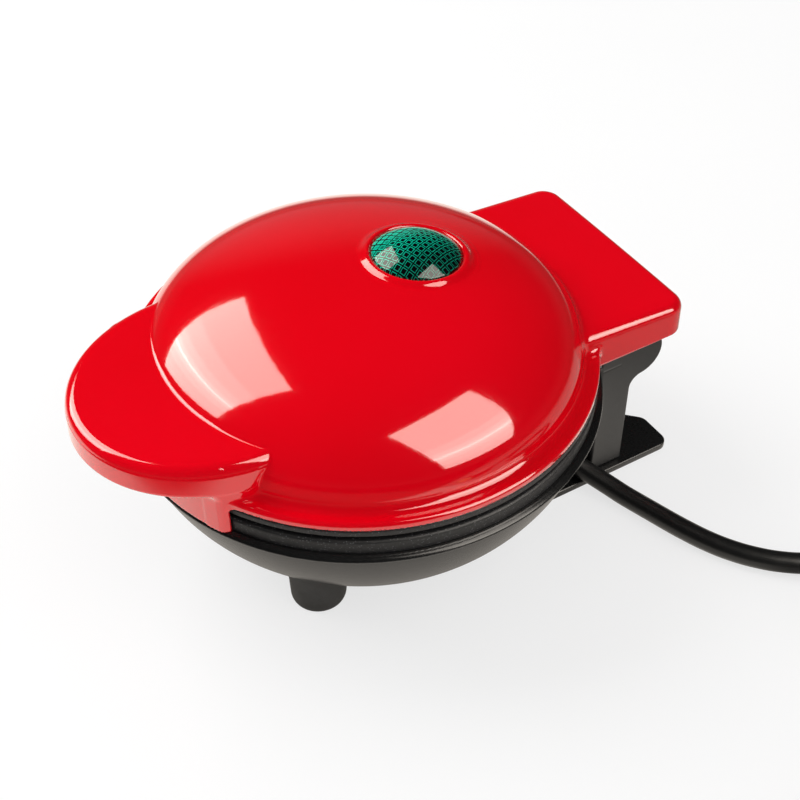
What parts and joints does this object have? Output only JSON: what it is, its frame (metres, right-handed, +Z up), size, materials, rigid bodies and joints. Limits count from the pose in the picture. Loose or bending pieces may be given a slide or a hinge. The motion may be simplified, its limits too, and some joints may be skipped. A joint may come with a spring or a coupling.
{
  "type": "mini waffle maker",
  "caption": "Round mini waffle maker: a red domed lid with a rear hinge, front handle and green lamp lens on a black bowl-shaped base with feet and a cord.",
  "frame": {"origin": "centre of the underside of the bounding box, on the table, cord nodes left out", "axes": "+X to the user's right with the handle toward the user, +Y from the handle to the hinge, +Z up"},
  "size_m": [0.2483, 0.2335, 0.084],
  "materials": {
    "red_lid": "gloss red moulding",
    "black_base": "gloss black moulding",
    "foot_plate_black": "satin black moulding",
    "foot_rubber": "satin black rubber",
    "green_lens": "clear green moulding, facetted underneath",
    "nonstick_plate": "cast aluminium with grey speckled non-stick coat",
    "steel": "zinc plated steel",
    "element_steel": "dull stainless tube",
    "reflector": "bright pressed sheet",
    "ceramic": "off-white ceramic",
    "fuse_brass": "plain",
    "lamp_glass": "clear neon lamp",
    "lead_insulation": "white insulation",
    "lead_sleeve": "braided glass-fibre sleeve",
    "cord_black": "black PVC",
    "blade_brass": "bright"
  },
  "bodies": {
    "base": {"lower_housing": "black_base", "lower_plate": "nonstick_plate", "lower_plate_screws": "steel", "lower_element": "element_steel", "lower_reflector": "reflector", "lower_reflector_screws": "steel", "thermostat": "ceramic", "thermal_fuse": "fuse_brass", "terminal_block": "ceramic", "supply_leads": "lead_insulation", "heater_leads": "lead_insulation", "lower_sleeve": "lead_sleeve", "hinge_pin_left": "steel", "hinge_pin_right": "steel", "foot_plate": "foot_plate_black", "foot_plate_screws": "steel", "front_foot_left": "foot_rubber", "front_foot_right": "foot_rubber", "strain_relief": "cord_black", "power_cord": "cord_black", "cord_coil": "cord_black", "cord_tail": "cord_black", "coil_tie": "cord_black", "plug_body": "cord_black", "plug_blades": "blade_brass"},
    "lid": {"upper_housing": "red_lid", "lens": "green_lens", "lens_clip": "steel", "lamp": "lamp_glass", "lamp_holder": "ceramic", "upper_plate": "nonstick_plate", "upper_plate_screws": "steel", "upper_element": "element_steel", "upper_reflector": "reflector", "upper_reflector_screws": "steel", "upper_leads": "lead_insulation", "upper_sleeve": "lead_sleeve"}
  },
  "joints": [
    {"name": "lid_hinge", "type": "hinge", "parent": "base", "child": "lid", "pos_m": [0, 0.0693, 0.0416], "axis": [-1, 0, 0], "range_deg": [0, 105]}
  ]
}
